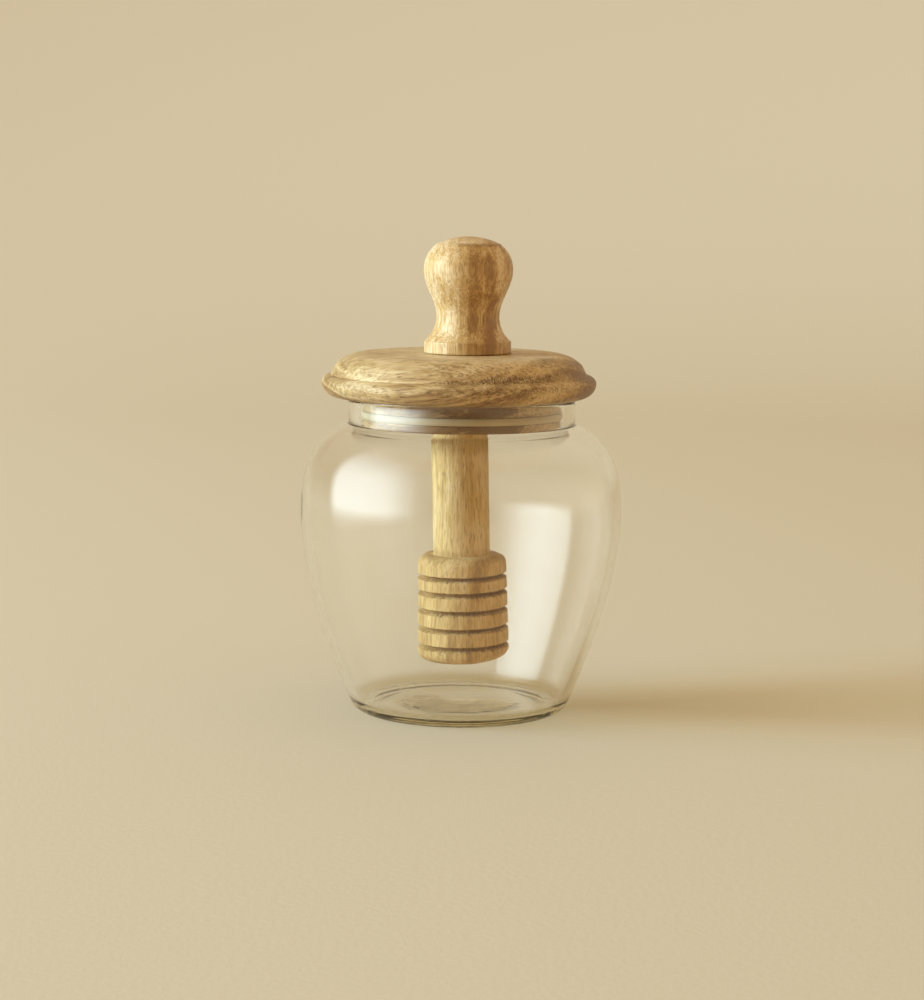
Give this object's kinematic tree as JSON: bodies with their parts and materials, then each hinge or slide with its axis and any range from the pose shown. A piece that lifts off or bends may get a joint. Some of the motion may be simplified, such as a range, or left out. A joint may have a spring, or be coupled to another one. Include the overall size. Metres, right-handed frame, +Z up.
{
  "type": "glass honey pot",
  "caption": "Clear glass honey pot with a rounded shoulder, a turned wooden lid with a knob, a gasket and a grooved wooden dipper hanging inside.",
  "frame": {"origin": "centre of the jar's foot, on the surface that it stands on", "axes": "+Z up along the jar's axis, -Y towards the side seen from the front"},
  "size_m": [0.1, 0.1, 0.1478],
  "materials": {
    "glass": "clear glass with a faint olive tint at the thick base",
    "lid_wood": "oiled brown wood with dark pores, grain across the disc",
    "silicone": "translucent greyish silicone",
    "knob_wood": "satin golden wood, grain upright",
    "dipper_wood": "plain light wood with burnt grooves"
  },
  "bodies": {
    "root": {"jar": "glass", "lid": "lid_wood", "gasket": "silicone", "knob": "knob_wood", "dipper": "dipper_wood"}
  },
  "joints": []
}
